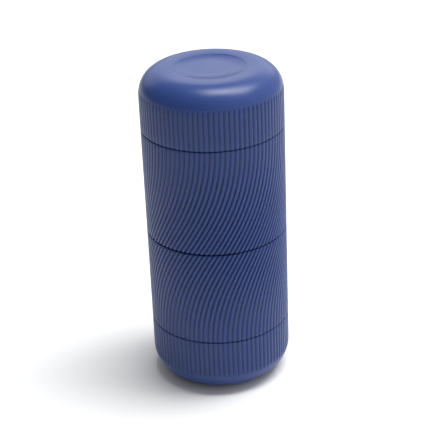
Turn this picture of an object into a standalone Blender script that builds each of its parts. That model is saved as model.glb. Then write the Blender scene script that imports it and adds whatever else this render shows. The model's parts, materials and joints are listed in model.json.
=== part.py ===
"""Twist-action pill crusher, modelled in metres with +Z up, standing on its bottom cap.

Two sleeves turn against each other at the middle seam and drive a conical burr. The top
cap screws off to load tablets, and the bottom cap screws off with the powder.
The main axis is world Z. Every turned piece has its origin on that axis.
"""
import math

import bmesh
import bpy
from mathutils import Matrix

# Outside shape
OUTER_RADIUS = 0.027
OVERALL_HEIGHT = 0.1262
SHELL_WALL = 0.002
SHELL_BORE = OUTER_RADIUS - SHELL_WALL
BOTTOM_SEAM = 0.024
MIDDLE_SEAM = 0.0618
TOP_SEAM = 0.1034
CAP_SEAM_HALF_GAP = 0.00015
MIDDLE_SEAM_HALF_GAP = 0.0003
RECESS_RADIUS = 0.0133
RECESS_DEPTH = 0.0003
RECESS_DRAFT = 0.0002
CAP_FLOOR = 0.0021

# Rounded corners of the two caps: horizontal reach, vertical reach, superellipse exponent
BOTTOM_CORNER = (0.01105, 0.0106, 1.95)
TOP_CORNER = (0.0097, 0.00997, 2.14)
CORNER_STEPS = 6

# Fits
GAP = 0.0003
LINER_RADIUS = SHELL_BORE - GAP
LINER_FLOOR = 0.0015

# Screw necks and their threads (three starts, right-handed)
THREAD_STARTS = 3
THREAD_LEAD = 0.009
THREAD_SWEEP = math.radians(100)
THREAD_STEPS = 10
THREAD_HALF_PITCH = THREAD_LEAD / THREAD_STARTS / 2
THREAD_ROOT_HALF_WIDTH = 0.0007
THREAD_CREST_HALF_WIDTH = 0.00035
THREAD_BURIAL = 0.0004
THREAD_END_TAPER = 0.5
NECK_RADIUS = 0.0207
NECK_BORE = 0.0185
NECK_CREST = 0.0215
SOCKET_RADIUS = 0.022
SOCKET_CREST = 0.02115

# Powder cup and its seal
CUP_RIM = 0.0224
CUP_INNER_CORNER = (0.0080, 0.0067, 1.95)
CUP_THREAD_START = 0.0175
CUP_GASKET = (0.0212, 0.0243, 0.0227, 0.02385)

# Lower core
LOWER_NECK_END = 0.0125
FLANGE_THICKNESS = 0.002
LEDGE_BORE = 0.0140
LEDGE_TOP = 0.0317
LEDGE_BOTTOM = 0.0295
LEDGE_CONE_FOOT = 0.0265
BURR_SLEEVE_BORE = 0.0188
SHELF_BOTTOM = 0.0407
SHELF_TOP = 0.0427
RELIEF_BORE = 0.0227
COLLAR_BORE = 0.0211
COLLAR_BOTTOM = 0.0500
COLLAR_TOP = 0.0598
GLIDE_RING = (0.0213, 0.0244, 0.0601, 0.0613)

# Ring burr, fixed in the lower half
RING_RADIUS = 0.0184
RING_BOTTOM = 0.0320
RING_MIDDLE = 0.0360
RING_THROAT = 0.0398
RING_TOP = 0.0410
RING_BOTTOM_BORE = 0.01245
RING_MIDDLE_BORE = 0.0118
RING_THROAT_BORE = 0.0112
RING_MOUTH_BORE = 0.0128
RING_TEETH = 18
RING_TOOTH_DEPTH = 0.0009
RING_TWIST = math.radians(-14)

# Rotor burr, turned by the upper half
ROTOR_BOTTOM = 0.0312
ROTOR_SKIRT = 0.0318
ROTOR_MIDDLE = 0.0360
ROTOR_NECK = 0.0420
ROTOR_TOP = 0.0430
ROTOR_FOOT_RADIUS = 0.0110
ROTOR_SKIRT_RADIUS = 0.0121
ROTOR_MIDDLE_RADIUS = 0.0096
ROTOR_NECK_RADIUS = 0.0068
ROTOR_TOP_RADIUS = 0.0056
ROTOR_TEETH = 15
ROTOR_FINE_DEPTH = 0.0008
ROTOR_COARSE_DEPTH = 0.0014
ROTOR_TWIST = math.radians(30)

# Screws
SCREW_SHANK = 0.0010
SCREW_POINT = 0.0008
SCREW_HEAD_RADIUS = 0.0020
SCREW_HEAD_HEIGHT = 0.0014
SCREW_SOCKET_RADIUS = 0.0010
SCREW_SOCKET_DEPTH = 0.0008
SCREW_SEGMENTS = 12
HOLE_RADIUS = 0.0013
COUNTERBORE_RADIUS = 0.0024
RING_SCREW_CIRCLE = 0.0162
RING_SCREW_ANGLE = math.radians(60)
RING_SCREW_SEAT = 0.0394
RING_SCREW_LENGTH = 0.0094
BRIDGE_SCREW_CIRCLE = 0.0159
BRIDGE_SCREW_SEAT = 0.0563
BRIDGE_SCREW_LENGTH = 0.0080

# Hopper
HOPPER_BOTTOM = 0.0442
FUNNEL_MOUTH = 0.0118
FUNNEL_MOUTH_TOP = 0.0460
FUNNEL_RIM = 0.0136
BRIDGE_LEDGE = 0.0530
SNAP_GROOVE_BOTTOM = 0.0479
SNAP_GROOVE_TOP = 0.0500
SNAP_GROOVE_RADIUS = 0.0196
HOPPER_FLANGE_BOTTOM = 0.0616
UPPER_NECK_END = 0.1145
LID_THREAD_START = 0.1080
SNAP_RING = (0.0199, 0.0223, 0.0482, 0.0497)
SNAP_RING_SWEEP = math.radians(330)
SNAP_RING_STEPS = 30

# Drive bridge and shaft
HUB_RADIUS = 0.0055
HUB_BOTTOM = 0.0500
HUB_TOP = 0.0570
ARM_BOTTOM = 0.0533
ARM_TOP = 0.0560
ARM_WIDTH = 0.0050
ARM_REACH = 0.0176
ARM_ROOT = 0.0035
SHAFT_HALF_WIDTH = 0.0020
SHAFT_TAIL_RADIUS = 0.0019
SHAFT_BOTTOM = 0.0248
SHAFT_SHOULDER = 0.0316
SHAFT_TOP = 0.0605
SHAFT_CHAMFER = 0.0004
CLIP_GROOVE_BOTTOM = 0.0580
CLIP_GROOVE_TOP = 0.0592
CLIP_GROOVE_RADIUS = 0.0016
SHAFT_SEGMENTS = 16
WASHER = (0.0032, 0.0054, 0.0573, 0.0578)
CLIP = (0.0019, 0.0038, 0.0582, 0.0590)
CLIP_SWEEP = math.radians(290)
CLIP_STEPS = 14

# Spring above the rotor and the knob below it
SPRING_RADIUS = 0.0040
SPRING_WIRE = 0.00045
SPRING_BOTTOM = 0.0438
SPRING_TOP = 0.0492
SPRING_TURNS = 4
SPRING_STEPS_PER_TURN = 14
SPRING_SIDES = 6
KNOB_RADIUS = 0.0064
KNOB_BORE = 0.0022
KNOB_BOTTOM = 0.0270
KNOB_TOP = 0.0309
KNOB_CHAMFER = 0.0005
KNOB_FLUTES = 12
KNOB_FLUTE_DEPTH = 0.0006

# Top cap liner and its seal
LINER_RIM = 0.10385
LINER_SHOULDER = 0.1153
LINER_CEILING = 0.1165
LINER_TOP = 0.1183
LINER_TOP_RADIUS = 0.0230
LID_GASKET = (0.0188, 0.0215, 0.1148, 0.1162)

OUTER_SEGMENTS = 64
INNER_SEGMENTS = 36
SHARP_EDGE = math.radians(32)
WELD_DISTANCE = 1e-7

MATERIALS = {
    "shell_plastic": ((0.035, 0.055, 0.20), 0.0, 0.42),
    "liner_plastic": ((0.03, 0.035, 0.06), 0.0, 0.5),
    "natural_plastic": ((0.72, 0.72, 0.70), 0.0, 0.45),
    "seal_rubber": ((0.16, 0.17, 0.19), 0.0, 0.7),
    "burr_steel": ((0.55, 0.56, 0.58), 1.0, 0.35),
    "bright_steel": ((0.65, 0.66, 0.68), 1.0, 0.28),
}


def make_materials():
    """Return the Principled materials by name."""
    made = {}
    for name, (colour, metallic, roughness) in MATERIALS.items():
        material = bpy.data.materials.new(name)
        material.use_nodes = True
        shader = material.node_tree.nodes["Principled BSDF"]
        shader.inputs["Base Color"].default_value = (*colour, 1.0)
        shader.inputs["Metallic"].default_value = metallic
        shader.inputs["Roughness"].default_value = roughness
        material.diffuse_color = (*colour, 1.0)
        made[name] = material
    return made


def add_piece(name, bm, material, base_height=0.0):
    """Turn a bmesh drawn at world heights into an object whose origin is at base_height on the axis."""
    bmesh.ops.translate(bm, verts=bm.verts, vec=(0.0, 0.0, -base_height))
    bmesh.ops.recalc_face_normals(bm, faces=bm.faces)
    for face in bm.faces:
        face.smooth = True
    for edge in bm.edges:
        edge.smooth = edge.calc_face_angle(0.0) < SHARP_EDGE
    mesh = bpy.data.meshes.new(name)
    bm.to_mesh(mesh)
    bm.free()
    if material is not None:
        mesh.materials.append(material)
    piece = bpy.data.objects.new(name, mesh)
    piece.location = (0.0, 0.0, base_height)
    bpy.context.scene.collection.objects.link(piece)
    return piece


def combine(target, tool, operation):
    """Join or cut target with a hidden tool object."""
    tool.hide_render = True
    tool.display_type = "WIRE"
    modifier = target.modifiers.new(tool.name, "BOOLEAN")
    modifier.operation = operation
    modifier.solver = "EXACT"
    modifier.object = tool


def lathe(profile, segments, closed):
    """Spin a (radius, height) profile round Z. An open profile begins and ends on the axis."""
    bm = bmesh.new()
    verts = [bm.verts.new((radius, 0.0, height)) for radius, height in profile]
    pairs = list(zip(verts, verts[1:]))
    if closed:
        pairs.append((verts[-1], verts[0]))
    edges = [bm.edges.new(pair) for pair in pairs]
    bmesh.ops.spin(
        bm,
        geom=verts + edges,
        cent=(0.0, 0.0, 0.0),
        axis=(0.0, 0.0, 1.0),
        angle=math.tau,
        steps=segments,
        use_merge=True,
    )
    bmesh.ops.remove_doubles(bm, verts=bm.verts, dist=WELD_DISTANCE)
    return bm


def ring(bounds, segments):
    """A plain ring from its (bore, radius, bottom, top)."""
    bore, radius, bottom, top = bounds
    profile = [(bore, bottom), (radius, bottom), (radius, top), (bore, top)]
    return lathe(profile, segments, closed=True)


def sweep(bm, profile, start, angle, steps, rise=0.0, end_scale=1.0):
    """Sweep a closed (radius, height) profile round Z from start, climbing by rise.

    end_scale below 1 narrows the two end sections in height, so that a ridge tapers out.
    """
    middle = sum(height for _, height in profile) / len(profile)
    sections = []
    for step in range(steps + 1):
        fraction = step / steps
        turn = start + angle * fraction
        scale = end_scale if step in (0, steps) else 1.0
        section = []
        for radius, height in profile:
            level = middle + (height - middle) * scale + rise * fraction
            section.append(bm.verts.new((radius * math.cos(turn), radius * math.sin(turn), level)))
        sections.append(section)
    count = len(profile)
    for low, high in zip(sections, sections[1:]):
        for index in range(count):
            following = (index + 1) % count
            bm.faces.new((low[index], low[following], high[following], high[index]))
    bm.faces.new(list(reversed(sections[0])))
    bm.faces.new(sections[-1])


def reshape(bm, new_polar):
    """Move every vertex to the (radius, angle) that new_polar returns for its radius, angle, height."""
    for vert in bm.verts:
        radius = math.hypot(vert.co.x, vert.co.y)
        if radius < WELD_DISTANCE:
            continue
        angle = math.atan2(vert.co.y, vert.co.x)
        radius, angle = new_polar(radius, angle, vert.co.z)
        vert.co.x = radius * math.cos(angle)
        vert.co.y = radius * math.sin(angle)


def in_tooth_space(angle, teeth):
    """True on the half of each tooth pitch that is cut away; four vertices make one pitch."""
    position = round(angle / math.tau * teeth * 4) % 4
    return position >= 2


def corner(corner_shape, edge_radius, corner_height, direction):
    """Points of a rounded corner, from the side wall to the end face.

    direction is +1 for a corner that closes upwards and -1 for one that closes downwards.
    """
    reach, rise, exponent = corner_shape
    points = []
    for step in range(CORNER_STEPS + 1):
        angle = math.pi / 2 * step / CORNER_STEPS
        across = math.cos(angle) ** (2 / exponent)
        along = math.sin(angle) ** (2 / exponent)
        if step == CORNER_STEPS:
            across = 0.0
        points.append((edge_radius - reach + reach * across, corner_height + direction * rise * along))
    return points


def shrunk(corner_shape, inward, shorten):
    """The same corner with its reach and rise reduced."""
    reach, rise, exponent = corner_shape
    return (reach - inward, rise - shorten, exponent)


def round_pattern(circle_radius, first_angle, count=3):
    """Centres of equally spaced screws round the axis."""
    centres = []
    for index in range(count):
        angle = first_angle + math.tau * index / count
        centres.append((circle_radius * math.cos(angle), circle_radius * math.sin(angle), angle))
    return centres


def merged(parts):
    """One bmesh holding moved copies of several: parts is a list of (bmesh, matrix)."""
    whole = bmesh.new()
    for bm, matrix in parts:
        bm.transform(matrix)
        mesh = bpy.data.meshes.new("merge")
        bm.to_mesh(mesh)
        bm.free()
        whole.from_mesh(mesh)
        bpy.data.meshes.remove(mesh)
    return whole


def add_thread(target, name, start_height, outward):
    """Join a multi-start thread to a neck (outward) or to a socket."""
    if outward:
        root, crest = NECK_RADIUS - THREAD_BURIAL, NECK_CREST
    else:
        root, crest = SOCKET_RADIUS + THREAD_BURIAL, SOCKET_CREST
    profile = [
        (root, start_height - THREAD_ROOT_HALF_WIDTH),
        (crest, start_height - THREAD_CREST_HALF_WIDTH),
        (crest, start_height + THREAD_CREST_HALF_WIDTH),
        (root, start_height + THREAD_ROOT_HALF_WIDTH),
    ]
    bm = bmesh.new()
    for index in range(THREAD_STARTS):
        start = math.tau * index / THREAD_STARTS
        rise = THREAD_LEAD * THREAD_SWEEP / math.tau
        sweep(bm, profile, start, THREAD_SWEEP, THREAD_STEPS, rise, THREAD_END_TAPER)
    combine(target, add_piece(name, bm, None), "UNION")


def add_holes(target, name, profile, circle_radius, first_angle):
    """Cut three equally spaced holes of the given turned profile."""
    parts = []
    for x, y, _ in round_pattern(circle_radius, first_angle):
        parts.append((lathe(profile, SCREW_SEGMENTS, closed=False), Matrix.Translation((x, y, 0.0))))
    combine(target, add_piece(name, merged(parts), None), "DIFFERENCE")


def plain_hole(bottom, top, radius=HOLE_RADIUS):
    """Profile of a straight round cutter."""
    return [(0.0, bottom), (radius, bottom), (radius, top), (0.0, top)]


def add_square_hole(target, name, bottom, top):
    """Cut the square hole that the drive shaft slides in."""
    side = 2 * (SHAFT_HALF_WIDTH + GAP)
    bm = bmesh.new()
    bmesh.ops.create_cube(bm, size=1.0)
    bmesh.ops.scale(bm, vec=(side, side, top - bottom), verts=bm.verts)
    bmesh.ops.translate(bm, vec=(0.0, 0.0, (bottom + top) / 2), verts=bm.verts)
    combine(target, add_piece(name, bm, None), "DIFFERENCE")


def build_shells(materials):
    """The four outer pieces: bottom cap, lower sleeve, upper sleeve and top cap."""
    shell = materials["shell_plastic"]
    bottom_rim = BOTTOM_SEAM - CAP_SEAM_HALF_GAP
    corner_height = BOTTOM_CORNER[1]
    outside = corner(BOTTOM_CORNER, OUTER_RADIUS, corner_height, -1)
    floor = RECESS_DEPTH + CAP_FLOOR
    inside = corner(shrunk(BOTTOM_CORNER, SHELL_WALL, floor), SHELL_BORE, corner_height, -1)
    profile = [(0.0, RECESS_DEPTH), (RECESS_RADIUS - RECESS_DRAFT, RECESS_DEPTH), (RECESS_RADIUS, 0.0)]
    profile += list(reversed(outside))
    profile += [(OUTER_RADIUS, bottom_rim), (SHELL_BORE, bottom_rim)]
    profile += inside + [(0.0, floor)]
    add_piece("bottom_cap", lathe(profile, OUTER_SEGMENTS, closed=False), shell)

    lower_bottom = BOTTOM_SEAM + CAP_SEAM_HALF_GAP
    lower_top = MIDDLE_SEAM - MIDDLE_SEAM_HALF_GAP
    bounds = (SHELL_BORE, OUTER_RADIUS, lower_bottom, lower_top)
    add_piece("lower_shell", ring(bounds, OUTER_SEGMENTS), shell, lower_bottom)

    upper_bottom = MIDDLE_SEAM + MIDDLE_SEAM_HALF_GAP
    upper_top = TOP_SEAM - CAP_SEAM_HALF_GAP
    bounds = (SHELL_BORE, OUTER_RADIUS, upper_bottom, upper_top)
    add_piece("upper_shell", ring(bounds, OUTER_SEGMENTS), shell, upper_bottom)

    top_rim = TOP_SEAM + CAP_SEAM_HALF_GAP
    corner_height = OVERALL_HEIGHT - TOP_CORNER[1]
    outside = corner(TOP_CORNER, OUTER_RADIUS, corner_height, 1)
    inside = corner(shrunk(TOP_CORNER, SHELL_WALL, floor), SHELL_BORE, corner_height, 1)
    ceiling = OVERALL_HEIGHT - floor
    recess = OVERALL_HEIGHT - RECESS_DEPTH
    profile = [(0.0, ceiling)] + list(reversed(inside))
    profile += [(SHELL_BORE, top_rim), (OUTER_RADIUS, top_rim)]
    profile += outside
    profile += [(RECESS_RADIUS, OVERALL_HEIGHT), (RECESS_RADIUS - RECESS_DRAFT, recess), (0.0, recess)]
    add_piece("top_cap", lathe(profile, OUTER_SEGMENTS, closed=False), shell, top_rim)


def build_powder_cup(materials):
    """The cup fixed in the bottom cap, with its thread, and the flat seal on its rim."""
    corner_height = BOTTOM_CORNER[1]
    underside = RECESS_DEPTH + CAP_FLOOR + GAP
    floor = underside + LINER_FLOOR
    outside = corner(shrunk(BOTTOM_CORNER, SHELL_WALL + GAP, underside), LINER_RADIUS, corner_height, -1)
    inside = corner(CUP_INNER_CORNER, SOCKET_RADIUS, floor + CUP_INNER_CORNER[1], -1)
    profile = [(0.0, underside)] + list(reversed(outside))
    profile += [(LINER_RADIUS, CUP_RIM), (SOCKET_RADIUS, CUP_RIM)]
    profile += inside + [(0.0, floor)]
    bm = lathe(profile, INNER_SEGMENTS, closed=False)
    cup = add_piece("powder_cup", bm, materials["liner_plastic"], underside)
    add_thread(cup, "cup_thread", CUP_THREAD_START, outward=False)
    gasket = ring(CUP_GASKET, INNER_SEGMENTS)
    add_piece("cup_gasket", gasket, materials["seal_rubber"], CUP_GASKET[2])


def build_lower_core(materials):
    """The lower half's inner body: screw neck, burr ledge and the collar the hopper turns in."""
    flange_bottom = BOTTOM_SEAM + CAP_SEAM_HALF_GAP
    flange_top = flange_bottom + FLANGE_THICKNESS
    profile = [
        (NECK_BORE, LOWER_NECK_END),
        (NECK_RADIUS, LOWER_NECK_END),
        (NECK_RADIUS, flange_bottom),
        (LINER_RADIUS, flange_bottom),
        (LINER_RADIUS, flange_top),
        (NECK_RADIUS, flange_top),
        (NECK_RADIUS, SHELF_BOTTOM),
        (LINER_RADIUS, SHELF_BOTTOM),
        (LINER_RADIUS, COLLAR_TOP),
        (COLLAR_BORE, COLLAR_TOP),
        (COLLAR_BORE, COLLAR_BOTTOM),
        (RELIEF_BORE, COLLAR_BOTTOM),
        (RELIEF_BORE, SHELF_TOP),
        (BURR_SLEEVE_BORE, SHELF_TOP),
        (BURR_SLEEVE_BORE, LEDGE_TOP),
        (LEDGE_BORE, LEDGE_TOP),
        (LEDGE_BORE, LEDGE_BOTTOM),
        (NECK_BORE, LEDGE_CONE_FOOT),
    ]
    bm = lathe(profile, INNER_SEGMENTS, closed=True)
    core = add_piece("lower_core", bm, materials["liner_plastic"], LOWER_NECK_END)
    add_thread(core, "lower_neck_thread", CUP_THREAD_START - THREAD_HALF_PITCH, outward=True)
    hole = plain_hole(RING_SCREW_SEAT - RING_SCREW_LENGTH - GAP, LEDGE_TOP + GAP)
    add_holes(core, "ledge_holes", hole, RING_SCREW_CIRCLE, RING_SCREW_ANGLE)
    glide = ring(GLIDE_RING, INNER_SEGMENTS)
    add_piece("glide_ring", glide, materials["natural_plastic"], GLIDE_RING[2])


def build_ring_burr(materials):
    """The toothed ring that stays with the lower half."""
    profile = [
        (RING_BOTTOM_BORE, RING_BOTTOM),
        (RING_RADIUS, RING_BOTTOM),
        (RING_RADIUS, RING_TOP),
        (RING_MOUTH_BORE, RING_TOP),
        (RING_THROAT_BORE, RING_THROAT),
        (RING_MIDDLE_BORE, RING_MIDDLE),
    ]
    bm = lathe(profile, RING_TEETH * 4, closed=True)
    inner_limit = (RING_MOUTH_BORE + RING_RADIUS) / 2

    def tooth(radius, angle, height):
        if radius > inner_limit:
            return radius, angle
        if in_tooth_space(angle, RING_TEETH) and height < RING_TOP - WELD_DISTANCE:
            radius += RING_TOOTH_DEPTH
        return radius, angle + RING_TWIST * (height - RING_BOTTOM) / (RING_TOP - RING_BOTTOM)

    reshape(bm, tooth)
    bmesh.ops.triangulate(bm, faces=bm.faces)
    burr = add_piece("ring_burr", bm, materials["burr_steel"], RING_BOTTOM)
    counterbore = RING_SCREW_SEAT - GAP
    hole = [
        (0.0, RING_BOTTOM - GAP),
        (HOLE_RADIUS, RING_BOTTOM - GAP),
        (HOLE_RADIUS, counterbore),
        (COUNTERBORE_RADIUS, counterbore),
        (COUNTERBORE_RADIUS, RING_TOP + GAP),
        (0.0, RING_TOP + GAP),
    ]
    add_holes(burr, "ring_holes", hole, RING_SCREW_CIRCLE, RING_SCREW_ANGLE)


def build_rotor_burr(materials):
    """The toothed cone that turns with the upper half."""
    profile = [
        (0.0, ROTOR_BOTTOM),
        (ROTOR_FOOT_RADIUS, ROTOR_BOTTOM),
        (ROTOR_SKIRT_RADIUS, ROTOR_SKIRT),
        (ROTOR_MIDDLE_RADIUS, ROTOR_MIDDLE),
        (ROTOR_NECK_RADIUS, ROTOR_NECK),
        (ROTOR_TOP_RADIUS, ROTOR_TOP),
        (0.0, ROTOR_TOP),
    ]
    bm = lathe(profile, ROTOR_TEETH * 4, closed=False)

    def tooth(radius, angle, height):
        climb = (height - ROTOR_BOTTOM) / (ROTOR_TOP - ROTOR_BOTTOM)
        toothed = ROTOR_BOTTOM + WELD_DISTANCE < height < ROTOR_TOP - WELD_DISTANCE
        if toothed and in_tooth_space(angle, ROTOR_TEETH):
            radius -= ROTOR_FINE_DEPTH + (ROTOR_COARSE_DEPTH - ROTOR_FINE_DEPTH) * climb
        return radius, angle + ROTOR_TWIST * climb

    reshape(bm, tooth)
    bmesh.ops.triangulate(bm, faces=bm.faces)
    rotor = add_piece("rotor_burr", bm, materials["burr_steel"], ROTOR_BOTTOM)
    add_square_hole(rotor, "rotor_bore", ROTOR_BOTTOM - GAP, ROTOR_TOP + GAP)


def build_screws(materials, name, circle_radius, first_angle, seat, length):
    """Three socket-head screws, each its own piece, with its origin under its head."""

    def hexagon(radius, angle, height):
        if height > seat + WELD_DISTANCE and radius < SCREW_HEAD_RADIUS - WELD_DISTANCE:
            sixth = math.pi / 3
            offset = (angle % sixth) - sixth / 2
            radius *= math.cos(sixth / 2) / math.cos(offset)
        return radius, angle

    head_top = seat + SCREW_HEAD_HEIGHT
    socket_floor = head_top - SCREW_SOCKET_DEPTH
    profile = [
        (0.0, seat - length),
        (SCREW_SHANK, seat - length + SCREW_POINT),
        (SCREW_SHANK, seat),
        (SCREW_HEAD_RADIUS, seat),
        (SCREW_HEAD_RADIUS, head_top),
        (SCREW_SOCKET_RADIUS, head_top),
        (SCREW_SOCKET_RADIUS, socket_floor),
        (0.0, socket_floor),
    ]
    for index, (x, y, angle) in enumerate(round_pattern(circle_radius, first_angle), start=1):
        bm = lathe(profile, SCREW_SEGMENTS, closed=False)
        reshape(bm, hexagon)
        screw = add_piece(f"{name}_{index}", bm, materials["bright_steel"], seat)
        screw.location.x = x
        screw.location.y = y
        screw.rotation_euler.z = angle


def build_hopper(materials):
    """The upper half's inner body: funnel, snap groove, tablet space and upper screw neck."""
    lower_flange_top = HOPPER_FLANGE_BOTTOM + FLANGE_THICKNESS
    upper_flange_top = TOP_SEAM - CAP_SEAM_HALF_GAP
    upper_flange_bottom = upper_flange_top - FLANGE_THICKNESS
    profile = [
        (FUNNEL_MOUTH, HOPPER_BOTTOM),
        (NECK_RADIUS, HOPPER_BOTTOM),
        (NECK_RADIUS, SNAP_GROOVE_BOTTOM),
        (SNAP_GROOVE_RADIUS, SNAP_GROOVE_BOTTOM),
        (SNAP_GROOVE_RADIUS, SNAP_GROOVE_TOP),
        (NECK_RADIUS, SNAP_GROOVE_TOP),
        (NECK_RADIUS, HOPPER_FLANGE_BOTTOM),
        (LINER_RADIUS, HOPPER_FLANGE_BOTTOM),
        (LINER_RADIUS, lower_flange_top),
        (NECK_RADIUS, lower_flange_top),
        (NECK_RADIUS, upper_flange_bottom),
        (LINER_RADIUS, upper_flange_bottom),
        (LINER_RADIUS, upper_flange_top),
        (NECK_RADIUS, upper_flange_top),
        (NECK_RADIUS, UPPER_NECK_END),
        (NECK_BORE, UPPER_NECK_END),
        (NECK_BORE, BRIDGE_LEDGE),
        (FUNNEL_RIM, BRIDGE_LEDGE),
        (FUNNEL_MOUTH, FUNNEL_MOUTH_TOP),
    ]
    bm = lathe(profile, INNER_SEGMENTS, closed=True)
    hopper = add_piece("hopper", bm, materials["liner_plastic"], HOPPER_BOTTOM)
    add_thread(hopper, "upper_neck_thread", LID_THREAD_START + THREAD_HALF_PITCH, outward=True)
    hole = plain_hole(BRIDGE_SCREW_SEAT - BRIDGE_SCREW_LENGTH - GAP, BRIDGE_LEDGE + GAP)
    add_holes(hopper, "hopper_holes", hole, BRIDGE_SCREW_CIRCLE, 0.0)

    bore, radius, bottom, top = SNAP_RING
    snap = bmesh.new()
    section = [(bore, bottom), (radius, bottom), (radius, top), (bore, top)]
    sweep(snap, section, (math.tau - SNAP_RING_SWEEP) / 2, SNAP_RING_SWEEP, SNAP_RING_STEPS)
    add_piece("snap_ring", snap, materials["bright_steel"], bottom)


def build_drive(materials):
    """The bridge across the hopper, and the shaft, washer and clip it carries."""
    profile = [(0.0, HUB_BOTTOM), (HUB_RADIUS, HUB_BOTTOM), (HUB_RADIUS, HUB_TOP), (0.0, HUB_TOP)]
    hub = lathe(profile, INNER_SEGMENTS, closed=False)
    bridge = add_piece("drive_bridge", hub, materials["natural_plastic"], HUB_BOTTOM)
    arms = []
    for _, _, angle in round_pattern(BRIDGE_SCREW_CIRCLE, 0.0):
        arm = bmesh.new()
        bmesh.ops.create_cube(arm, size=1.0)
        size = (ARM_REACH - ARM_ROOT, ARM_WIDTH, ARM_TOP - ARM_BOTTOM)
        bmesh.ops.scale(arm, vec=size, verts=arm.verts)
        centre = ((ARM_REACH + ARM_ROOT) / 2, 0.0, (ARM_BOTTOM + ARM_TOP) / 2)
        bmesh.ops.translate(arm, vec=centre, verts=arm.verts)
        arms.append((arm, Matrix.Rotation(angle, 4, "Z")))
    combine(bridge, add_piece("bridge_arms", merged(arms), None), "UNION")
    hole = plain_hole(ARM_BOTTOM - GAP, ARM_TOP + GAP)
    add_holes(bridge, "bridge_holes", hole, BRIDGE_SCREW_CIRCLE, 0.0)
    add_square_hole(bridge, "hub_bore", HUB_BOTTOM - GAP, HUB_TOP + GAP)

    def squared(radius, angle, height):
        in_groove = CLIP_GROOVE_BOTTOM - WELD_DISTANCE < height < CLIP_GROOVE_TOP + WELD_DISTANCE
        if height < SHAFT_SHOULDER - WELD_DISTANCE or (in_groove and radius < SHAFT_TAIL_RADIUS):
            return radius, angle
        return radius / max(abs(math.cos(angle)), abs(math.sin(angle))), angle

    profile = [
        (0.0, SHAFT_BOTTOM),
        (SHAFT_TAIL_RADIUS - SHAFT_CHAMFER, SHAFT_BOTTOM),
        (SHAFT_TAIL_RADIUS, SHAFT_BOTTOM + SHAFT_CHAMFER),
        (SHAFT_TAIL_RADIUS, SHAFT_SHOULDER - SHAFT_CHAMFER),
        (SHAFT_HALF_WIDTH, SHAFT_SHOULDER),
        (SHAFT_HALF_WIDTH, CLIP_GROOVE_BOTTOM),
        (CLIP_GROOVE_RADIUS, CLIP_GROOVE_BOTTOM),
        (CLIP_GROOVE_RADIUS, CLIP_GROOVE_TOP),
        (SHAFT_HALF_WIDTH, CLIP_GROOVE_TOP),
        (SHAFT_HALF_WIDTH, SHAFT_TOP - SHAFT_CHAMFER),
        (SHAFT_HALF_WIDTH - SHAFT_CHAMFER, SHAFT_TOP),
        (0.0, SHAFT_TOP),
    ]
    bm = lathe(profile, SHAFT_SEGMENTS, closed=False)
    reshape(bm, squared)
    add_piece("drive_shaft", bm, materials["bright_steel"], SHAFT_BOTTOM)
    add_piece("shaft_washer", ring(WASHER, SHAFT_SEGMENTS), materials["bright_steel"], WASHER[2])
    bore, radius, bottom, top = CLIP
    clip = bmesh.new()
    section = [(bore, bottom), (radius, bottom), (radius, top), (bore, top)]
    sweep(clip, section, (math.tau - CLIP_SWEEP) / 2, CLIP_SWEEP, CLIP_STEPS)
    add_piece("shaft_clip", clip, materials["bright_steel"], bottom)


def build_adjustment(materials):
    """The spring above the rotor and the fluted knob that sets its height."""
    section = []
    for side in range(SPRING_SIDES):
        angle = math.tau * side / SPRING_SIDES
        radius = SPRING_RADIUS + SPRING_WIRE * math.cos(angle)
        height = SPRING_BOTTOM + SPRING_WIRE * math.sin(angle)
        section.append((radius, height))
    bm = bmesh.new()
    sweep(
        bm,
        section,
        0.0,
        math.tau * SPRING_TURNS,
        SPRING_TURNS * SPRING_STEPS_PER_TURN,
        rise=SPRING_TOP - SPRING_BOTTOM,
    )
    add_piece("burr_spring", bm, materials["bright_steel"], SPRING_BOTTOM)

    profile = [
        (KNOB_BORE, KNOB_BOTTOM),
        (KNOB_RADIUS - KNOB_CHAMFER, KNOB_BOTTOM),
        (KNOB_RADIUS, KNOB_BOTTOM + KNOB_CHAMFER),
        (KNOB_RADIUS, KNOB_TOP),
        (KNOB_BORE, KNOB_TOP),
    ]
    bm = lathe(profile, KNOB_FLUTES * 4, closed=True)

    def flute(radius, angle, _height):
        if radius > KNOB_RADIUS / 2 and in_tooth_space(angle, KNOB_FLUTES):
            radius -= KNOB_FLUTE_DEPTH
        return radius, angle

    reshape(bm, flute)
    add_piece("adjuster_knob", bm, materials["liner_plastic"], KNOB_BOTTOM)


def build_lid_liner(materials):
    """The threaded liner fixed in the top cap, and the flat seal under its ceiling."""
    profile = [
        (0.0, LINER_CEILING),
        (SOCKET_RADIUS, LINER_CEILING),
        (SOCKET_RADIUS, LINER_RIM),
        (LINER_RADIUS, LINER_RIM),
        (LINER_RADIUS, LINER_SHOULDER),
        (LINER_TOP_RADIUS, LINER_TOP),
        (0.0, LINER_TOP),
    ]
    bm = lathe(profile, INNER_SEGMENTS, closed=False)
    liner = add_piece("cap_liner", bm, materials["liner_plastic"], LINER_RIM)
    add_thread(liner, "liner_thread", LID_THREAD_START, outward=False)
    gasket = ring(LID_GASKET, INNER_SEGMENTS)
    add_piece("lid_gasket", gasket, materials["seal_rubber"], LID_GASKET[2])


def main():
    for leftover in list(bpy.data.objects):
        bpy.data.objects.remove(leftover)
    materials = make_materials()
    build_shells(materials)
    build_powder_cup(materials)
    build_lower_core(materials)
    build_ring_burr(materials)
    build_screws(
        materials, "ring_screw", RING_SCREW_CIRCLE, RING_SCREW_ANGLE, RING_SCREW_SEAT, RING_SCREW_LENGTH
    )
    build_rotor_burr(materials)
    build_hopper(materials)
    build_drive(materials)
    build_screws(
        materials, "bridge_screw", BRIDGE_SCREW_CIRCLE, 0.0, BRIDGE_SCREW_SEAT, BRIDGE_SCREW_LENGTH
    )
    build_adjustment(materials)
    build_lid_liner(materials)


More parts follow.
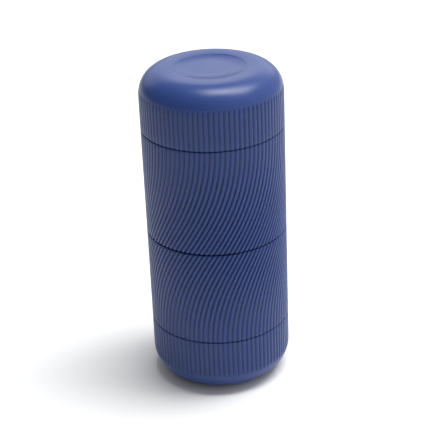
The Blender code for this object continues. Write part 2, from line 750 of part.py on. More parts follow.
main()
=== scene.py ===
"""Looks of the twist-action pill crusher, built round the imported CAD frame."""

import json
import math

import bmesh
import bpy
from mathutils import Matrix, Vector


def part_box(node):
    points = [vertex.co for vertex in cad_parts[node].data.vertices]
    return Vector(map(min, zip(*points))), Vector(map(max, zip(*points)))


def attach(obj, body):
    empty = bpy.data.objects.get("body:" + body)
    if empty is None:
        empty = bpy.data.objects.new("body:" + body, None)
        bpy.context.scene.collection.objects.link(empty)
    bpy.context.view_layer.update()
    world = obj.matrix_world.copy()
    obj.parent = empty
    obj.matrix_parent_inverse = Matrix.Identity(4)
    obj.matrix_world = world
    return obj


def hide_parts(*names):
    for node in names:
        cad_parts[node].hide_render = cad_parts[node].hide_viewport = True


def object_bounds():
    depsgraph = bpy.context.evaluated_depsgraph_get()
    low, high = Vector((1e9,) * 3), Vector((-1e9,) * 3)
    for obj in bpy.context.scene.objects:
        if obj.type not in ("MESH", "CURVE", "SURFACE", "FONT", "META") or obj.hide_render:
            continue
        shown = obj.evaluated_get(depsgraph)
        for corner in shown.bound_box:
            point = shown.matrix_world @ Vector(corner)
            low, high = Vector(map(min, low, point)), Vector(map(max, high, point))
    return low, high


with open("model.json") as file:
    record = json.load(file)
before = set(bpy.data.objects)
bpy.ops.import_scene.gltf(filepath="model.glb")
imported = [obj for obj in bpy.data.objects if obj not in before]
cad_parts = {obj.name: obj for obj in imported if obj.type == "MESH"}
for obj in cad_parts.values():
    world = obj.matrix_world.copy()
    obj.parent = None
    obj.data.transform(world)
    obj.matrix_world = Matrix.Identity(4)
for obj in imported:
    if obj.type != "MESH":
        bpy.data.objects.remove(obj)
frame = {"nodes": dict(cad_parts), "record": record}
cad_low, cad_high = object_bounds()

# Lengths are in metres throughout. The outer radius and the height come from the frame.
# A corner is (reach inwards, rise, superellipse exponent).
OUTER_RADIUS = (cad_high.x - cad_low.x) / 2
OVERALL_HEIGHT = cad_high.z
SHELL_WALL = 0.002
SHELL_BORE = OUTER_RADIUS - SHELL_WALL
BOTTOM_CORNER = (0.01105, 0.0106, 1.95)
TOP_CORNER = (0.0097, 0.00997, 2.14)
RECESS_RADIUS = 0.0133
RECESS_DEPTH = 0.00014
RECESS_FILLET = 0.00008
# Points down the recess's edge: outwards from its radius, and depth below the face
RECESS_EDGE = (
    (RECESS_FILLET, 0.0),
    (RECESS_FILLET * 0.35, RECESS_FILLET * 0.18),
    (0.0, RECESS_FILLET * 0.7),
    (-RECESS_FILLET * 0.25, RECESS_DEPTH - RECESS_FILLET * 0.5),
    (-RECESS_FILLET * 1.2, RECESS_DEPTH),
)
CAP_FLOOR = 0.0024
RIM_FILLET = 0.00025
RIM_FILLET_ANGLES = (0, 30, 60, 90)

# Ribs: they run straight down both caps and sweep round between the two end seams
RIB_COUNT = 90
RIB_DEPTH_CAPS = 0.00034
RIB_DEPTH_MIDDLE = 0.00058
RIB_BOTTOM_END = 0.0088
RIB_TOP_END = 0.1190
RIB_RUN_OUT = 0.0010
RIB_PHASE = math.radians(-1.38)
SWEEP_ANGLE = math.radians(60)
SWEEP_START = 0.0243
SWEEP_END = 0.1029
SWEEP_POWER = 1.708
# One rib's pitch as (share of the pitch, share of the groove's depth)
GROOVE_SECTION = (
    (0.00, 1.00),
    (0.07, 0.93),
    (0.14, 0.62),
    (0.21, 0.24),
    (0.29, 0.05),
    (0.40, 0.00),
    (0.60, 0.00),
    (0.71, 0.05),
    (0.79, 0.24),
    (0.86, 0.62),
    (0.93, 0.93),
)
COLUMNS = RIB_COUNT * len(GROOVE_SECTION)
STRAIGHT_ROW_HEIGHT = 0.0040
SWEPT_ROW_HEIGHT = 0.0016
CORNER_ROWS = 56
INNER_CORNER_ROWS = 8

# Fits and liners
GAP = 0.0003
LINER_RADIUS = SHELL_BORE - GAP
LINER_FLOOR = 0.0015
FLANGE_THICKNESS = 0.002
NECK_RADIUS = 0.0207
NECK_BORE = 0.0185
SOCKET_RADIUS = 0.022
CUP_INNER_CORNER = (0.0080, 0.0067, 1.95)
CUP_THREAD_START = 0.0175
LID_THREAD_START = 0.1080
LEDGE_BORE = 0.0140
LEDGE_TOP = 0.0317
LEDGE_BOTTOM = 0.0295
LEDGE_CONE_FOOT = 0.0265
BURR_SLEEVE_BORE = 0.0188
SHELF_BOTTOM = 0.0407
SHELF_TOP = 0.0427
RELIEF_BORE = 0.0227
COLLAR_BORE = 0.0211
COLLAR_BOTTOM = 0.0500
FUNNEL_MOUTH = 0.0118
FUNNEL_MOUTH_TOP = 0.0460
FUNNEL_RIM = 0.0136
BRIDGE_LEDGE = 0.0530
SNAP_GROOVE_BOTTOM = 0.0479
SNAP_GROOVE_TOP = 0.0500
SNAP_GROOVE_RADIUS = 0.0196
HOPPER_FLANGE_BOTTOM = 0.0616
LINER_SHOULDER = 0.1153
LINER_CEILING = 0.1165
LINER_TOP_RADIUS = 0.0230
CUP_CORNER_ROWS = 14

# Threads: three starts, right-handed. The section is (height, share of the ridge).
THREAD_STARTS = 3
THREAD_LEAD = 0.009
THREAD_SWEEP = math.radians(100)
THREAD_FADE = math.radians(9)
THREAD_HALF_PITCH = THREAD_LEAD / THREAD_STARTS / 2
NECK_CREST = 0.0215
SOCKET_CREST = 0.02115
THREAD_SECTION = (
    (-0.00062, 0.00),
    (-0.00052, 0.30),
    (-0.00040, 0.82),
    (-0.00028, 1.00),
    (0.00028, 1.00),
    (0.00040, 0.82),
    (0.00052, 0.30),
    (0.00062, 0.00),
)

# Screw holes under the burr and under the bridge
HOLE_COUNT = 3
HOLE_RADIUS = 0.0013
HOLE_SEGMENTS = 24
RING_SCREW_CIRCLE = 0.0162
RING_SCREW_ANGLE = math.radians(60)
RING_SCREW_HOLE = (0.0297, 0.0320)
BRIDGE_SCREW_CIRCLE = 0.0159
BRIDGE_SCREW_ANGLE = 0.0
BRIDGE_SCREW_HOLE = (0.0480, 0.0533)

# Turned pieces: columns round the axis, and how their sharp corners are eased
SEGMENTS = 144
EASE = 0.00022
EASE_SHARE = 0.45
EASE_STEPS = 3
EASE_ABOVE = math.radians(25)
SHARP_EDGE = math.radians(17)
TOUCHING = 1e-6

# Bores of the plain rings, by node
RING_BORES = {"cup_gasket": 0.0212, "lid_gasket": 0.0188, "glide_ring": 0.0213}

# The photograph's view, with angles in degrees and the sensor and lens in millimetres
CAMERA_ELEVATION = 26.42
CAMERA_ROLL = -2.443
CAMERA_YAW = 0.0579
CAMERA_PITCH = 0.2201
CAMERA_SENSOR = 36.0
CAMERA_LENS = 115.4
CAMERA_DISTANCE = 0.5327
CAMERA_CLIP_START = 0.01

# Studio: the surround is bright on the side it faces and dark opposite
SURROUND_COLOUR = (0.97, 0.98, 1.0, 1.0)
SURROUND_DARK = 0.17
SURROUND_BRIGHT = 0.95
SURROUND_FACING = Vector((0.85, 0.02, 0.35)).normalized()
SURROUND_DARK_BELOW = -0.2
FLOOR_COLOUR = (0.80, 0.80, 0.80, 1.0)
FLOOR_ROUGHNESS = 0.9
FLOOR_RADIUS = 6.0
FLOOR_SEGMENTS = 96
KEY_PLACE = (0.40, 0.06, 1.25)
KEY_TARGET = (0.40, 0.06, 0.0)
KEY_SIZE = (1.0, 0.54)
KEY_WATTS = 22.0
REAR_PLACE = (-0.20, 1.55, 0.75)
REAR_TARGET = (0.0, 0.0, OVERALL_HEIGHT / 2)
REAR_SIZE = (2.7, 0.9)
REAR_WATTS = 8.6

# Sockets of a Mix node set to colours
MIX_FACTOR = 0
MIX_FIRST = 6
MIX_SECOND = 7
MIX_RESULT = 2

# Finishes. Colours are (darker, lighter) in linear light; roughness is (low, high).
EVEN_STRETCH = (1.0, 1.0, 1.0)
TURNED_STRETCH = (1.0, 1.0, 14.0)
MOTTLE_DETAIL = 4.0
MOTTLE_RANGE = (0.3, 0.7)
SHELL_COLOURS = ((0.0195, 0.0445, 0.172), (0.0235, 0.0515, 0.194))
# Painted shade: the colour that the grooves between the ribs are darkened towards
SHELL_GROOVE_PAINTED_SHADE = (0.010, 0.025, 0.106)
SHELL_CREST_RANGE = (0.05, 0.80)
SHELL_MOTTLE_SCALE = 60.0
SHELL_GRAIN_SCALE = 4200.0
SHELL_GRAIN_DETAIL = 2.0
SHELL_ROUGHNESS = (0.29, 0.37)
SHELL_RELIEF = (0.18, 0.00003)
SHELL_IOR = 1.45
SHELL_SPECULAR = 0.40
METAL_MOTTLE_SCALE = 220.0
METAL_GRAIN_SCALE = 1500.0
PLASTIC_MOTTLE_SCALE = 90.0
PLASTIC_GRAIN_SCALE = 3600.0
INNER_GRAIN_DETAIL = 3.0
INNER_RELIEF = (0.22, 0.00003)
# CAD nodes that stay in view, by material slot
CARRIED_NODES = {
    "liner_plastic": ("adjuster_knob",),
    "natural_plastic": ("drive_bridge",),
    "burr_steel": ("ring_burr", "rotor_burr"),
    "bright_steel": (
        "drive_shaft",
        "shaft_washer",
        "shaft_clip",
        "snap_ring",
        "burr_spring",
        "ring_screw_1",
        "ring_screw_2",
        "ring_screw_3",
        "bridge_screw_1",
        "bridge_screw_2",
        "bridge_screw_3",
    ),
}
ROUGHNESS = {
    "liner_plastic": (0.38, 0.50),
    "natural_plastic": (0.40, 0.50),
    "seal_rubber": (0.58, 0.72),
    "burr_steel": (0.30, 0.44),
    "bright_steel": (0.20, 0.32),
}
SLOT_COLOURS = {
    "liner_plastic": ((0.022, 0.027, 0.050), (0.034, 0.040, 0.068)),
    "natural_plastic": ((0.60, 0.60, 0.57), (0.74, 0.73, 0.69)),
    "seal_rubber": ((0.115, 0.122, 0.140), (0.165, 0.172, 0.190)),
    "burr_steel": ((0.40, 0.41, 0.43), (0.62, 0.62, 0.63)),
    "bright_steel": ((0.58, 0.59, 0.61), (0.74, 0.74, 0.75)),
}


def sweep_share(height):
    """How much of the swept zone lies below this height, from 0 to 1."""
    return min(max((height - SWEEP_START) / (SWEEP_END - SWEEP_START), 0.0), 1.0)


def rib_depth(height):
    """Depth of the grooves: shallow on the caps, deepest halfway up the sweep."""
    extra = RIB_DEPTH_MIDDLE - RIB_DEPTH_CAPS
    return RIB_DEPTH_CAPS + extra * math.sin(math.pi * sweep_share(height))


def sweep_angle(height):
    """How far round the ribs have swept at this height."""
    share = sweep_share(height)
    rising = share ** SWEEP_POWER
    falling = (1.0 - share) ** SWEEP_POWER
    return SWEEP_ANGLE * rising / (rising + falling)


def rib_reach(height):
    """Share of the groove depth at this height: 1, and rounding out to 0 at the two rib ends."""
    inside = min(height - RIB_BOTTOM_END, RIB_TOP_END - height) / RIB_RUN_OUT
    share = min(max(inside, 0.0), 1.0)
    return math.sqrt(share * (2.0 - share))


def corner_points(corner_shape, edge_radius, corner_height, direction, rows):
    """(radius, height) points of a superellipse corner, from the wall to the end face."""
    reach, rise, exponent = corner_shape
    points = []
    for row in range(rows + 1):
        angle = math.pi / 2 * row / rows
        across = 0.0 if row == rows else math.cos(angle) ** (2 / exponent)
        along = math.sin(angle) ** (2 / exponent)
        radius = edge_radius - reach + reach * across
        points.append((radius, corner_height + direction * rise * along))
    return points


def wall_heights(low, high, spacing):
    """Evenly spaced row heights, with both ends kept."""
    count = max(1, round((high - low) / spacing))
    return [low + (high - low) * index / count for index in range(count + 1)]


def rim(radius, height, inward, upward):
    """Rounded rim corner: points from the wall to the rim face.

    inward is +1 or -1 towards the axis or away from it; upward is the side the rim faces.
    """
    points = []
    for degrees in RIM_FILLET_ANGLES:
        turn = math.radians(degrees)
        points.append((
            radius - inward * RIM_FILLET * (1 - math.cos(turn)),
            height + upward * RIM_FILLET * (math.sin(turn) - 1),
        ))
    return points


def join_rows(name, rows, closed, material):
    """Join rings of points into one surface. A row of one point lies on the axis."""
    verts = []
    rings = []
    for row in rows:
        rings.append(range(len(verts), len(verts) + len(row)))
        verts.extend(row)
    pairs = list(zip(rings, rings[1:]))
    if closed:
        pairs.append((rings[-1], rings[0]))
    faces = []
    for low, high in pairs:
        columns = max(len(low), len(high))
        for column in range(columns):
            following = (column + 1) % columns
            if len(low) == 1:
                faces.append((low[0], high[following], high[column]))
            elif len(high) == 1:
                faces.append((low[column], low[following], high[0]))
            else:
                faces.append((low[column], low[following], high[following], high[column]))
    mesh = bpy.data.meshes.new(name)
    mesh.from_pydata(verts, [], faces)
    mesh.materials.append(material)
    mesh.shade_smooth()
    piece = bpy.data.objects.new(name, mesh)
    bpy.context.scene.collection.objects.link(piece)
    return piece


def stand_in(piece, node):
    """Let a piece take the place of a CAD node, on that node's body."""
    bodies = frame["record"]["behaviour"]["bodies"]
    body = next(name for name, nodes in bodies.items() if node in nodes)
    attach(piece, body)
    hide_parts(node)


def ribbed_piece(loop, closed, node, material):
    """Spin a (radius, height) loop into a closed shell, with grooves cut between its ribs."""
    count = len(GROOVE_SECTION)
    rows = []
    crest = []
    for radius, height in loop:
        if radius == 0.0:
            rows.append([(0.0, 0.0, height)])
            crest.append(1.0)
            continue
        row = []
        turned = sweep_angle(height) + RIB_PHASE
        outside = radius > SHELL_BORE + SHELL_WALL / 4  # the bore's rows stay plain
        reach = rib_reach(height) if outside else 0.0
        full_depth = rib_depth(height) * reach
        for column in range(COLUMNS):
            position, depth = GROOVE_SECTION[column % count]
            angle = turned + (column // count + position) / RIB_COUNT * math.tau
            here = radius - full_depth * depth
            row.append((here * math.cos(angle), here * math.sin(angle), height))
            crest.append(1.0 - depth * reach)
        rows.append(row)
    piece = join_rows("ribbed_" + node, rows, closed, material)
    # The crest attribute is 1 on the rib crests and falls down in the grooves; the shell material
    # paints shade into the grooves from it
    attribute = piece.data.attributes.new("crest", "FLOAT", "POINT")
    attribute.data.foreach_set("value", crest)
    stand_in(piece, node)


def recess_loop(face_height, inward):
    """Points of the shallow round recess, from its rim to the axis. inward is +1 on the underside."""
    edge = [
        (RECESS_RADIUS + outwards, face_height + inward * depth)
        for outwards, depth in RECESS_EDGE
    ]
    floor = face_height + inward * RECESS_DEPTH
    return edge + [(RECESS_RADIUS / 2, floor), (0.0, floor)]


def build_shells(material):
    """The four ribbed outer pieces."""
    bottom_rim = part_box("bottom_cap")[1].z
    corner_height = BOTTOM_CORNER[1]
    outside = corner_points(BOTTOM_CORNER, OUTER_RADIUS, corner_height, -1, CORNER_ROWS)
    inner_shape = (BOTTOM_CORNER[0] - SHELL_WALL, BOTTOM_CORNER[1] - CAP_FLOOR, BOTTOM_CORNER[2])
    inside = corner_points(inner_shape, SHELL_BORE, corner_height, -1, INNER_CORNER_ROWS)
    loop = list(reversed(recess_loop(0.0, 1))) + list(reversed(outside))
    heights = wall_heights(corner_height, bottom_rim - RIM_FILLET, STRAIGHT_ROW_HEIGHT)
    loop += [(OUTER_RADIUS, height) for height in heights[1:-1]]
    loop += rim(OUTER_RADIUS, bottom_rim, 1, 1)
    loop += list(reversed(rim(SHELL_BORE, bottom_rim, -1, 1)))
    loop += inside + [(0.0, CAP_FLOOR)]
    ribbed_piece(loop, False, "bottom_cap", material)

    for node in ("lower_shell", "upper_shell"):
        low, high = (corner.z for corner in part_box(node))
        loop = list(reversed(rim(OUTER_RADIUS, low, 1, -1)))
        heights = wall_heights(low + RIM_FILLET, high - RIM_FILLET, SWEPT_ROW_HEIGHT)
        loop += [(OUTER_RADIUS, height) for height in heights[1:-1]]
        loop += rim(OUTER_RADIUS, high, 1, 1)
        loop += list(reversed(rim(SHELL_BORE, high, -1, 1)))
        loop += rim(SHELL_BORE, low, -1, -1)
        ribbed_piece(loop, True, node, material)

    top_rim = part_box("top_cap")[0].z
    corner_height = OVERALL_HEIGHT - TOP_CORNER[1]
    outside = corner_points(TOP_CORNER, OUTER_RADIUS, corner_height, 1, CORNER_ROWS)
    inner_shape = (TOP_CORNER[0] - SHELL_WALL, TOP_CORNER[1] - CAP_FLOOR, TOP_CORNER[2])
    inside = corner_points(inner_shape, SHELL_BORE, corner_height, 1, INNER_CORNER_ROWS)
    loop = [(0.0, OVERALL_HEIGHT - CAP_FLOOR)] + list(reversed(inside))
    loop += rim(SHELL_BORE, top_rim, -1, -1)
    loop += list(reversed(rim(OUTER_RADIUS, top_rim, 1, -1)))
    heights = wall_heights(top_rim + RIM_FILLET, corner_height, STRAIGHT_ROW_HEIGHT)
    loop += [(OUTER_RADIUS, height) for height in heights[1:-1]]
    loop += outside + recess_loop(OVERALL_HEIGHT, -1)
    ribbed_piece(loop, False, "top_cap", material)


def level_row(radius, height):
    """A level ring of points, or the one point where a surface meets the axis."""
    if radius == 0.0:
        return [(0.0, 0.0, height)]
    turns = [math.tau * column / SEGMENTS for column in range(SEGMENTS)]
    return [(radius * math.cos(turn), radius * math.sin(turn), height) for turn in turns]


def eased(profile, closed):
    """Round the sharp corners of a (radius, height) profile."""
    points = [Vector(point) for point in profile]
    result = []
    for index, here in enumerate(points):
        if not closed and index in (0, len(points) - 1):
            result.append(tuple(profile[index]))
            continue
        back = points[index - 1] - here
        onward = points[(index + 1) % len(points)] - here
        if math.pi - back.angle(onward) < EASE_ABOVE:
            result.append(tuple(profile[index]))
            continue
        reach = min(EASE, back.length * EASE_SHARE, onward.length * EASE_SHARE)
        start = here + back.normalized() * reach
        end = here + onward.normalized() * reach
        for step in range(EASE_STEPS + 1):
            share = step / EASE_STEPS
            result.append(tuple(start.lerp(here, share).lerp(here.lerp(end, share), share)))
    return result


def thread_rows(root, crest, start_height, rising):
    """Rings that follow the thread ridges round a neck or a socket.

    Each ridge climbs over THREAD_SWEEP, then the rows come back down to meet the next start.
    """
    spacing = math.tau / THREAD_STARTS
    rows = []
    for offset, share in THREAD_SECTION if rising else reversed(THREAD_SECTION):
        row = []
        for column in range(SEGMENTS):
            turn = math.tau * column / SEGMENTS
            along = turn % spacing
            climb = min(along, THREAD_SWEEP * (spacing - along) / (spacing - THREAD_SWEEP))
            height = start_height + offset + THREAD_LEAD * climb / math.tau
            fade = min(max(min(along, THREAD_SWEEP - along) / THREAD_FADE, 0.0), 1.0)
            radius = root + (crest - root) * share * fade * (2 - fade)
            row.append((radius * math.cos(turn), radius * math.sin(turn), height))
        rows.append(row)
    return rows


def turned_rows(profile, closed, thread=None):
    """Rings of a turned profile; thread is (root radius, crest radius, start height)."""
    points = eased(profile, closed)
    rows = []
    for here, following in zip(points, points[1:] + points[:1]):
        rows.append(level_row(*here))
        if thread is None:
            continue
        root, crest, start_height = thread
        low, high = sorted((here[1], following[1]))
        on_wall = max(abs(here[0] - root), abs(following[0] - root)) < TOUCHING
        if on_wall and low < start_height < high:
            rows += thread_rows(root, crest, start_height, following[1] > here[1])
    return rows


def turned_piece(profile, closed, node, material, thread=None):
    """A smooth turned piece that takes the place of a faceted CAD node."""
    piece = join_rows("turned_" + node, turned_rows(profile, closed, thread), closed, material)
    piece.data.set_sharp_from_angle(angle=SHARP_EDGE)
    stand_in(piece, node)
    return piece


def drill(piece, circle_radius, first_angle, hole):
    """Cut equally spaced holes; hole is the (bottom, top) of the cut."""
    bottom, top = hole
    bm = bmesh.new()
    for index in range(HOLE_COUNT):
        angle = first_angle + math.tau * index / HOLE_COUNT
        place = Matrix.Translation((
            circle_radius * math.cos(angle),
            circle_radius * math.sin(angle),
            (bottom + top) / 2,
        ))
        bmesh.ops.create_cone(
            bm,
            cap_ends=True,
            segments=HOLE_SEGMENTS,
            radius1=HOLE_RADIUS,
            radius2=HOLE_RADIUS,
            depth=top - bottom,
            matrix=place,
        )
    mesh = bpy.data.meshes.new("drill")
    bm.to_mesh(mesh)
    bm.free()
    cutter = bpy.data.objects.new("drill", mesh)
    bpy.context.scene.collection.objects.link(cutter)
    modifier = piece.modifiers.new("drill", "BOOLEAN")
    modifier.operation = "DIFFERENCE"
    modifier.solver = "EXACT"
    modifier.object = cutter
    shown = piece.evaluated_get(bpy.context.evaluated_depsgraph_get())
    drilled = bpy.data.meshes.new_from_object(shown)
    piece.modifiers.clear()
    piece.data = drilled
    piece.data.set_sharp_from_angle(angle=SHARP_EDGE)
    bpy.data.objects.remove(cutter)


def build_liners(material):
    """The cup, lower core, hopper and cap liner, with their threads."""
    underside = CAP_FLOOR + GAP
    floor = underside + LINER_FLOOR
    rim_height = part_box("powder_cup")[1].z
    reach, rise, exponent = BOTTOM_CORNER
    outer_shape = (reach - SHELL_WALL - GAP, rise - underside, exponent)
    outside = corner_points(outer_shape, LINER_RADIUS, rise, -1, CUP_CORNER_ROWS)
    inside_height = floor + CUP_INNER_CORNER[1]
    inside = corner_points(CUP_INNER_CORNER, SOCKET_RADIUS, inside_height, -1, CUP_CORNER_ROWS)
    profile = [(0.0, underside)] + list(reversed(outside))
    profile += [(LINER_RADIUS, rim_height), (SOCKET_RADIUS, rim_height)]
    profile += inside + [(0.0, floor)]
    thread = (SOCKET_RADIUS, SOCKET_CREST, CUP_THREAD_START)
    turned_piece(profile, False, "powder_cup", material, thread)

    neck_end, collar_top = (corner.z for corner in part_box("lower_core"))
    flange_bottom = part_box("lower_shell")[0].z
    flange_top = flange_bottom + FLANGE_THICKNESS
    profile = [
        (NECK_BORE, neck_end),
        (NECK_RADIUS, neck_end),
        (NECK_RADIUS, flange_bottom),
        (LINER_RADIUS, flange_bottom),
        (LINER_RADIUS, flange_top),
        (NECK_RADIUS, flange_top),
        (NECK_RADIUS, SHELF_BOTTOM),
        (LINER_RADIUS, SHELF_BOTTOM),
        (LINER_RADIUS, collar_top),
        (COLLAR_BORE, collar_top),
        (COLLAR_BORE, COLLAR_BOTTOM),
        (RELIEF_BORE, COLLAR_BOTTOM),
        (RELIEF_BORE, SHELF_TOP),
        (BURR_SLEEVE_BORE, SHELF_TOP),
        (BURR_SLEEVE_BORE, LEDGE_TOP),
        (LEDGE_BORE, LEDGE_TOP),
        (LEDGE_BORE, LEDGE_BOTTOM),
        (NECK_BORE, LEDGE_CONE_FOOT),
    ]
    thread = (NECK_RADIUS, NECK_CREST, CUP_THREAD_START - THREAD_HALF_PITCH)
    core = turned_piece(profile, True, "lower_core", material, thread)
    drill(core, RING_SCREW_CIRCLE, RING_SCREW_ANGLE, RING_SCREW_HOLE)

    hopper_bottom, neck_end = (corner.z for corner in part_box("hopper"))
    upper_flange_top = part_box("upper_shell")[1].z
    upper_flange_bottom = upper_flange_top - FLANGE_THICKNESS
    lower_flange_top = HOPPER_FLANGE_BOTTOM + FLANGE_THICKNESS
    profile = [
        (FUNNEL_MOUTH, hopper_bottom),
        (NECK_RADIUS, hopper_bottom),
        (NECK_RADIUS, SNAP_GROOVE_BOTTOM),
        (SNAP_GROOVE_RADIUS, SNAP_GROOVE_BOTTOM),
        (SNAP_GROOVE_RADIUS, SNAP_GROOVE_TOP),
        (NECK_RADIUS, SNAP_GROOVE_TOP),
        (NECK_RADIUS, HOPPER_FLANGE_BOTTOM),
        (LINER_RADIUS, HOPPER_FLANGE_BOTTOM),
        (LINER_RADIUS, lower_flange_top),
        (NECK_RADIUS, lower_flange_top),
        (NECK_RADIUS, upper_flange_bottom),
        (LINER_RADIUS, upper_flange_bottom),
        (LINER_RADIUS, upper_flange_top),
        (NECK_RADIUS, upper_flange_top),
        (NECK_RADIUS, neck_end),
        (NECK_BORE, neck_end),
        (NECK_BORE, BRIDGE_LEDGE),
        (FUNNEL_RIM, BRIDGE_LEDGE),
        (FUNNEL_MOUTH, FUNNEL_MOUTH_TOP),
    ]
    thread = (NECK_RADIUS, NECK_CREST, LID_THREAD_START + THREAD_HALF_PITCH)
    hopper = turned_piece(profile, True, "hopper", material, thread)
    drill(hopper, BRIDGE_SCREW_CIRCLE, BRIDGE_SCREW_ANGLE, BRIDGE_SCREW_HOLE)

    rim_height, liner_top = (corner.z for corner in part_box("cap_liner"))
    profile = [
        (0.0, LINER_CEILING),
        (SOCKET_RADIUS, LINER_CEILING),
        (SOCKET_RADIUS, rim_height),
        (LINER_RADIUS, rim_height),
        (LINER_RADIUS, LINER_SHOULDER),
        (LINER_TOP_RADIUS, liner_top),
        (0.0, liner_top),
    ]
    thread = (SOCKET_RADIUS, SOCKET_CREST, LID_THREAD_START)
    turned_piece(profile, False, "cap_liner", material, thread)


def build_rings(materials):
    """The two flat seals and the ring that the halves turn on."""
    for node, bore in RING_BORES.items():
        low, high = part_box(node)
        radius = (high.x - low.x) / 2
        profile = [(bore, low.z), (radius, low.z), (radius, high.z), (bore, high.z)]
        slot = "natural_plastic" if node == "glide_ring" else "seal_rubber"
        turned_piece(profile, True, node, materials[slot])


class Finish:
    """A Principled material whose colour, roughness and relief all come from solid noise."""

    def __init__(self, name, low, high, mottle_scale):
        self.material = bpy.data.materials.new(name)
        self.material.use_nodes = True
        self.nodes = self.material.node_tree.nodes
        self.links = self.material.node_tree.links
        self.shader = self.nodes["Principled BSDF"]
        self.coordinates = self.nodes.new("ShaderNodeTexCoord")
        self.mottle = self.noise(mottle_scale, EVEN_STRETCH, MOTTLE_DETAIL)
        self.colour = self.blend(low, high, self.mottle.outputs["Fac"])

    def noise(self, scale, stretch, detail):
        """Solid noise on the object's own coordinates, finer along the larger stretch axes."""
        mapping = self.nodes.new("ShaderNodeMapping")
        mapping.inputs["Scale"].default_value = stretch
        self.links.new(self.coordinates.outputs["Object"], mapping.inputs["Vector"])
        texture = self.nodes.new("ShaderNodeTexNoise")
        texture.inputs["Scale"].default_value = scale
        texture.inputs["Detail"].default_value = detail
        self.links.new(mapping.outputs["Vector"], texture.inputs["Vector"])
        return texture

    def blend(self, low, high, factor):
        """Mix two colours; high may be another node's output."""
        mix = self.nodes.new("ShaderNodeMix")
        mix.data_type = "RGBA"
        mix.inputs[MIX_FIRST].default_value = (*low, 1.0)
        if isinstance(high, tuple):
            mix.inputs[MIX_SECOND].default_value = (*high, 1.0)
        else:
            self.links.new(high, mix.inputs[MIX_SECOND])
        self.links.new(factor, mix.inputs[MIX_FACTOR])
        return mix.outputs[MIX_RESULT]

    def ranged(self, source, from_range, to_range):
        """Map one value range on to another."""
        ramp = self.nodes.new("ShaderNodeMapRange")
        sockets = ("From Min", "From Max", "To Min", "To Max")
        for socket, value in zip(sockets, from_range + to_range):
            ramp.inputs[socket].default_value = value
        self.links.new(source, ramp.inputs["Value"])
        return ramp.outputs["Result"]

    def done(self, roughness, grain, relief):
        """Link colour, roughness and bump; relief is the bump's (strength, distance)."""
        self.links.new(self.colour, self.shader.inputs["Base Color"])
        rough = self.ranged(self.mottle.outputs["Fac"], MOTTLE_RANGE, roughness)
        self.links.new(rough, self.shader.inputs["Roughness"])
        bump = self.nodes.new("ShaderNodeBump")
        strength, distance = relief
        bump.inputs["Strength"].default_value = strength
        bump.inputs["Distance"].default_value = distance
        self.links.new(grain.outputs["Fac"], bump.inputs["Height"])
        self.links.new(bump.outputs["Normal"], self.shader.inputs["Normal"])
        return self.material


def shell_material():
    """Satin navy plastic: faint mould texture, with painted shade darkening the grooves between the
    ribs.
    """
    finish = Finish("navy_shell", *SHELL_COLOURS, SHELL_MOTTLE_SCALE)
    finish.shader.inputs["IOR"].default_value = SHELL_IOR
    finish.shader.inputs["Specular IOR Level"].default_value = SHELL_SPECULAR
    # Painted shade: the crest attribute darkens the colour towards the groove shade down in the
    # grooves between the ribs
    crest = finish.nodes.new("ShaderNodeAttribute")
    crest.attribute_name = "crest"
    on_crest = finish.ranged(crest.outputs["Fac"], SHELL_CREST_RANGE, (0.0, 1.0))
    finish.colour = finish.blend(SHELL_GROOVE_PAINTED_SHADE, finish.colour, on_crest)
    grain = finish.noise(SHELL_GRAIN_SCALE, EVEN_STRETCH, SHELL_GRAIN_DETAIL)
    return finish.done(SHELL_ROUGHNESS, grain, SHELL_RELIEF)


def inner_materials():
    """Materials of the inner pieces, by the record's slot name."""
    made = {}
    for slot, (low, high) in SLOT_COLOURS.items():
        metal = slot.endswith("steel")
        mottle_scale = METAL_MOTTLE_SCALE if metal else PLASTIC_MOTTLE_SCALE
        finish = Finish(slot + "_finish", low, high, mottle_scale)
        finish.shader.inputs["Metallic"].default_value = 1.0 if metal else 0.0
        stretch = TURNED_STRETCH if slot == "bright_steel" else EVEN_STRETCH
        grain_scale = METAL_GRAIN_SCALE if metal else PLASTIC_GRAIN_SCALE
        grain = finish.noise(grain_scale, stretch, INNER_GRAIN_DETAIL)
        made[slot] = finish.done(ROUGHNESS[slot], grain, INNER_RELIEF)
    return made


def finish_frame(materials):
    """Give every CAD node that stays in view its procedural material."""
    for slot, nodes in CARRIED_NODES.items():
        for node in nodes:
            for entry in frame["nodes"][node].material_slots:
                entry.material = materials[slot]


def add_area(name, location, target, size, watts):
    """A soft white box aimed at a point."""
    light = bpy.data.lights.new(name, "AREA")
    light.shape = "RECTANGLE"
    light.size, light.size_y = size
    light.energy = watts
    lamp = bpy.data.objects.new(name, light)
    lamp.location = location
    lamp.rotation_euler = (Vector(target) - Vector(location)).to_track_quat("-Z", "Y").to_euler()
    bpy.context.scene.collection.objects.link(lamp)


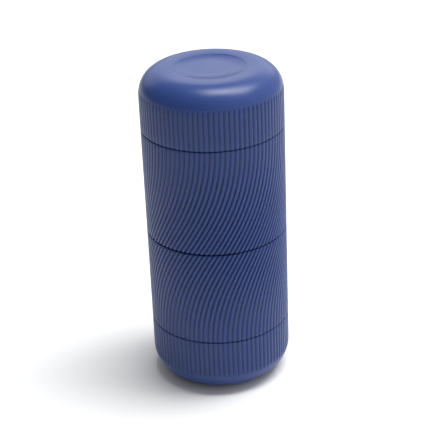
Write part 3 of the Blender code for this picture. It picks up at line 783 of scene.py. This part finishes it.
def build_studio():
    """Pale floor, two soft lights and a surround that is bright on one side."""
    floor_material = bpy.data.materials.new("studio_floor")
    floor_material.use_nodes = True
    floor_shader = floor_material.node_tree.nodes["Principled BSDF"]
    floor_shader.inputs["Base Color"].default_value = FLOOR_COLOUR
    floor_shader.inputs["Roughness"].default_value = FLOOR_ROUGHNESS
    floor_shader.inputs["Specular IOR Level"].default_value = 0.0
    bm = bmesh.new()
    bmesh.ops.create_circle(bm, cap_ends=True, radius=FLOOR_RADIUS, segments=FLOOR_SEGMENTS)
    mesh = bpy.data.meshes.new("studio_floor")
    bm.to_mesh(mesh)
    bm.free()
    mesh.materials.append(floor_material)
    floor = bpy.data.objects.new("studio_floor", mesh)
    bpy.context.scene.collection.objects.link(floor)

    world = bpy.data.worlds.new("studio_surround")
    world.use_nodes = True
    nodes = world.node_tree.nodes
    links = world.node_tree.links
    background = nodes["Background"]
    background.inputs["Color"].default_value = SURROUND_COLOUR
    direction = nodes.new("ShaderNodeTexCoord")
    facing = nodes.new("ShaderNodeVectorMath")
    facing.operation = "DOT_PRODUCT"
    facing.inputs[1].default_value = SURROUND_FACING
    links.new(direction.outputs["Generated"], facing.inputs[0])
    strength = nodes.new("ShaderNodeMapRange")
    strength.inputs["From Min"].default_value = SURROUND_DARK_BELOW
    strength.inputs["From Max"].default_value = 1.0
    strength.inputs["To Min"].default_value = SURROUND_DARK
    strength.inputs["To Max"].default_value = SURROUND_BRIGHT
    links.new(facing.outputs["Value"], strength.inputs["Value"])
    links.new(strength.outputs["Result"], background.inputs["Strength"])
    bpy.context.scene.world = world

    add_area("key_box", KEY_PLACE, KEY_TARGET, KEY_SIZE, KEY_WATTS)
    add_area("rear_box", REAR_PLACE, REAR_TARGET, REAR_SIZE, REAR_WATTS)
    bpy.context.scene.view_settings.view_transform = "Standard"


def build_camera():
    """The photograph's view: a long lens, looking down at the crusher, rolled slightly."""
    elevation = math.radians(CAMERA_ELEVATION)
    roll = math.radians(CAMERA_ROLL)
    back = Vector((0.0, -math.cos(elevation), math.sin(elevation)))
    right = Vector((1.0, 0.0, 0.0))
    up = Vector((0.0, math.sin(elevation), math.cos(elevation)))
    aim = Matrix.Rotation(math.radians(CAMERA_YAW), 3, up)
    aim = aim @ Matrix.Rotation(math.radians(CAMERA_PITCH), 3, right)
    facing, right, up = aim @ back, aim @ right, aim @ up
    axis_x = right * math.cos(roll) + up * math.sin(roll)
    axis_y = up * math.cos(roll) - right * math.sin(roll)
    turn = Matrix((axis_x, axis_y, facing)).transposed()
    data = bpy.data.cameras.new("photo_camera")
    data.sensor_width = CAMERA_SENSOR
    data.lens = CAMERA_LENS
    data.clip_start = CAMERA_CLIP_START
    camera = bpy.data.objects.new("photo_camera", data)
    target = Vector((0.0, 0.0, OVERALL_HEIGHT / 2))
    camera.matrix_world = Matrix.Translation(target + back * CAMERA_DISTANCE) @ turn.to_4x4()
    bpy.context.scene.collection.objects.link(camera)
    bpy.context.scene.camera = camera


build_shells(shell_material())
inner = inner_materials()
build_liners(inner["liner_plastic"])
build_rings(inner)
finish_frame(inner)
build_studio()
build_camera()
